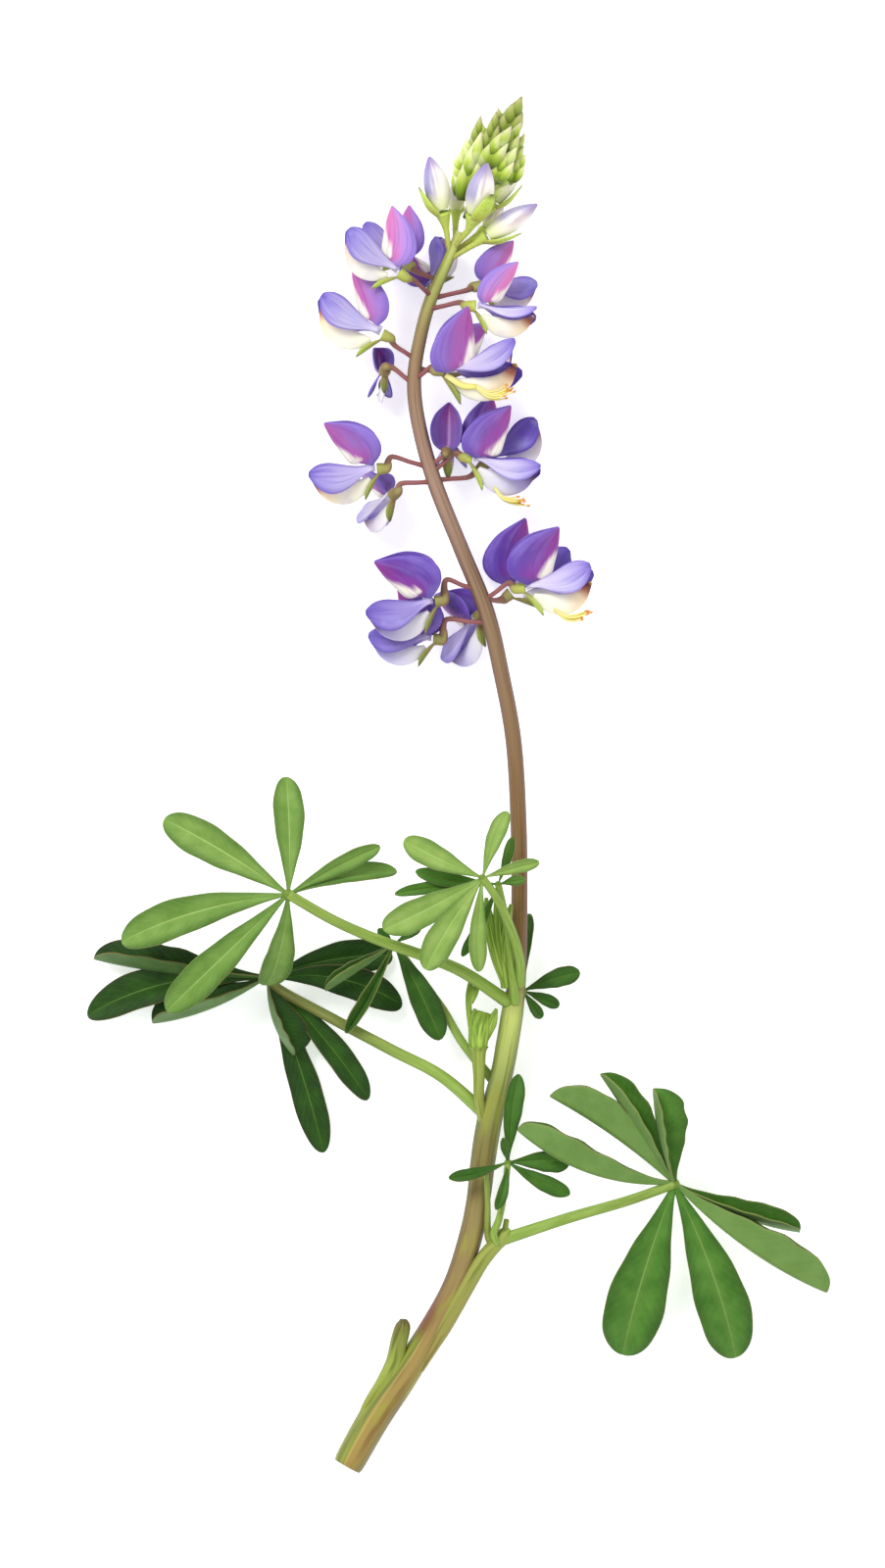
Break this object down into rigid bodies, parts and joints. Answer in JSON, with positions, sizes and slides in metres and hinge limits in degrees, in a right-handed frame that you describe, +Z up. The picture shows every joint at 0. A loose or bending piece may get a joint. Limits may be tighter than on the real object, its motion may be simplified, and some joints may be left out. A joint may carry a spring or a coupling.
{
  "type": "lupin flower spike",
  "caption": "Cut flowering stem of a lupin lying on its side, with whorls of blue-violet pea flowers, a tip of green buds and palmate leaves.",
  "frame": {"origin": "on the surface that the plant lies on, below the middle of its bounding box", "axes": "+Z up from the surface, +Y along the spike from the cut end to the tip, +X to the right seen from above"},
  "size_m": [0.137, 0.2536, 0.0256],
  "materials": {
    "stem": "smooth green and tan stem, satin",
    "leaf": "soft matte green leaf with a paler midrib and margin",
    "petal": "soft violet-blue petal, magenta near the fold",
    "keel": "cream petal with a dark tip",
    "bud": "downy lime-green bud"
  },
  "bodies": {
    "root": {"stem": "stem", "leaf_upper_left": "leaf", "leaf_lower_left": "leaf", "leaf_right": "leaf", "leaf_small_front": "leaf", "leaf_young_front": "leaf", "leaf_young_back": "leaf", "leaf_back_mid": "leaf", "leaf_back_right": "leaf", "shoot_upper": "leaf", "side_shoot": "leaf", "flower_11_petals": "petal", "flower_11_keel": "keel", "flower_12_petals": "petal", "flower_12_keel": "keel", "flower_13_petals": "petal", "flower_13_keel": "keel", "flower_14_petals": "petal", "flower_14_keel": "keel", "flower_15_petals": "petal", "flower_15_keel": "keel", "flower_21_petals": "petal", "flower_21_keel": "keel", "flower_22_petals": "petal", "flower_22_keel": "keel", "flower_23_petals": "petal", "flower_23_keel": "keel", "flower_24_petals": "petal", "flower_24_keel": "keel", "flower_25_petals": "petal", "flower_25_keel": "keel", "flower_31_petals": "petal", "flower_31_keel": "keel", "flower_32_petals": "petal", "flower_32_keel": "keel", "flower_33_petals": "petal", "flower_33_keel": "keel", "flower_34_petals": "petal", "flower_34_keel": "keel", "flower_41_petals": "petal", "flower_41_keel": "keel", "flower_42_petals": "petal", "flower_42_keel": "keel", "flower_43_petals": "petal", "flower_43_keel": "keel", "flower_44_petals": "petal", "flower_44_keel": "keel", "flower_45_petals": "petal", "flower_45_keel": "keel", "bud_1": "petal", "bud_2": "petal", "bud_3": "petal", "bud_4": "petal", "bud_5": "petal", "bud_6": "petal", "bud_head": "bud"}
  },
  "joints": []
}
